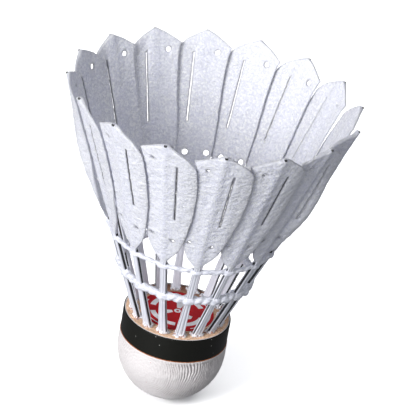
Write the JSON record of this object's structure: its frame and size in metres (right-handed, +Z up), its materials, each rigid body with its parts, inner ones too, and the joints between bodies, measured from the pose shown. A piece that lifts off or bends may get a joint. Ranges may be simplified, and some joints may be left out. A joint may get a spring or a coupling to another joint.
{
  "type": "badminton shuttlecock",
  "caption": "Badminton shuttlecock with a round cork base, black band, printed top disc, two thread bindings and separate overlapping white foam vanes on carbon stems.",
  "frame": {"origin": "the lowest point of the cork's nose, on the shuttlecock's axis", "axes": "+Z runs up the axis from the nose to the open end of the skirt; +X points through the middle of vane_01; the vanes count anticlockwise seen from +Z"},
  "size_m": [0.0678, 0.0678, 0.0819],
  "materials": {
    "cork": "pressed cork, matte",
    "cork_disc": "coarse composite cork, matte",
    "cover": "thin white coated skin, faintly creased, satin",
    "band": "black tape, satin",
    "label": "printed disc, red with a white pattern, satin",
    "glue": "dried clear-white glue, glossy",
    "binding": "thread soaked in glue, glossy",
    "vane": "thin wrinkled foam sheet, bluish white, matte",
    "stem": "grooved white plastic strip, satin",
    "carbon": "black carbon fibre, semi-gloss"
  },
  "bodies": {
    "root": {"cork_nose": "cork", "cork_disc": "cork_disc", "cork_cover": "cover", "tape_band": "band", "top_label": "label", "root_glue": "glue", "lower_binding": "binding", "upper_binding": "binding", "vane_01": "vane", "vane_02": "vane", "vane_03": "vane", "vane_04": "vane", "vane_05": "vane", "vane_06": "vane", "vane_07": "vane", "vane_08": "vane", "vane_09": "vane", "vane_10": "vane", "vane_11": "vane", "vane_12": "vane", "vane_13": "vane", "vane_14": "vane", "vane_15": "vane", "vane_16": "vane", "stem_01": "stem", "stem_02": "stem", "stem_03": "stem", "stem_04": "stem", "stem_05": "stem", "stem_06": "stem", "stem_07": "stem", "stem_08": "stem", "stem_09": "stem", "stem_10": "stem", "stem_11": "stem", "stem_12": "stem", "stem_13": "stem", "stem_14": "stem", "stem_15": "stem", "stem_16": "stem", "carbon_rod_01": "carbon", "carbon_rod_02": "carbon", "carbon_rod_03": "carbon", "carbon_rod_04": "carbon", "carbon_rod_05": "carbon", "carbon_rod_06": "carbon", "carbon_rod_07": "carbon", "carbon_rod_08": "carbon", "carbon_rod_09": "carbon", "carbon_rod_10": "carbon", "carbon_rod_11": "carbon", "carbon_rod_12": "carbon", "carbon_rod_13": "carbon", "carbon_rod_14": "carbon", "carbon_rod_15": "carbon", "carbon_rod_16": "carbon"}
  },
  "joints": []
}
